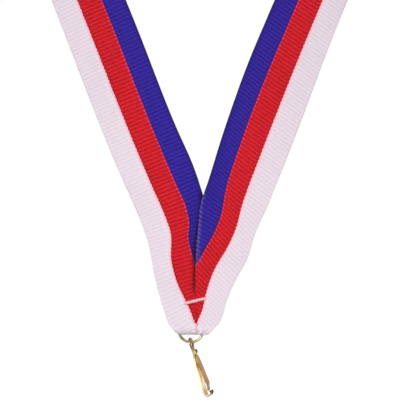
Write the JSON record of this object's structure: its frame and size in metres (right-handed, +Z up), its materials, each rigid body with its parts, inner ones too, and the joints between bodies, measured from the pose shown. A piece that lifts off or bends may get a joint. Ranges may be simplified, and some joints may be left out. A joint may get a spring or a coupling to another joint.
{
  "type": "neck ribbon with snap clip",
  "caption": "Striped woven neck ribbon joined in a V by a bar tack, with a split ring and a stamped brass snap clip for hanging a medal.",
  "frame": {"origin": "middle of the ribbon's width and thickness at the nape, where the ribbon rests on the wearer's neck", "axes": "+Z up along the hanging ribbon, -Y towards the viewer who faces the wearer, +X to that viewer's right"},
  "size_m": [0.1516, 0.113, 0.3287],
  "materials": {
    "ribbon_weave": "woven, cross ribbed, matt with a faint sheen; stripes of white, red and blue",
    "stitching_thread": "spun polyester thread",
    "ring_brass": "bright plated wire",
    "hook_brass": "bright plated stamped sheet",
    "tongue_brass": "bright plated spring sheet"
  },
  "bodies": {
    "ribbon": {"ribbon_left_arm": "ribbon_weave", "ribbon_nape": "ribbon_weave", "ribbon_right_arm": "ribbon_weave", "ribbon_v_end": "ribbon_weave", "bar_tack": "stitching_thread"},
    "ring": {"split_ring": "ring_brass"},
    "clip": {"clip_hook": "hook_brass"},
    "tongue": {"clip_tongue": "tongue_brass"}
  },
  "joints": [
    {"name": "ring_turn", "type": "hinge", "parent": "ribbon", "child": "ring", "pos_m": [-0.0032, -0.10289, -0.29973], "axis": [0, 1, 0], "range_deg": [-25, 25]},
    {"name": "clip_swing", "type": "hinge", "parent": "ring", "child": "clip", "pos_m": [-0.0032, -0.10289, -0.3036], "axis": [1, 0, 0], "range_deg": [-60, 60]},
    {"name": "tongue_press", "type": "hinge", "parent": "clip", "child": "tongue", "pos_m": [-0.00191, -0.10301, -0.3065], "axis": [0.2488, 0.9659, 0.0713], "range_deg": [0, 3.5], "stiffness_Nm_per_rad": 0.2}
  ]
}
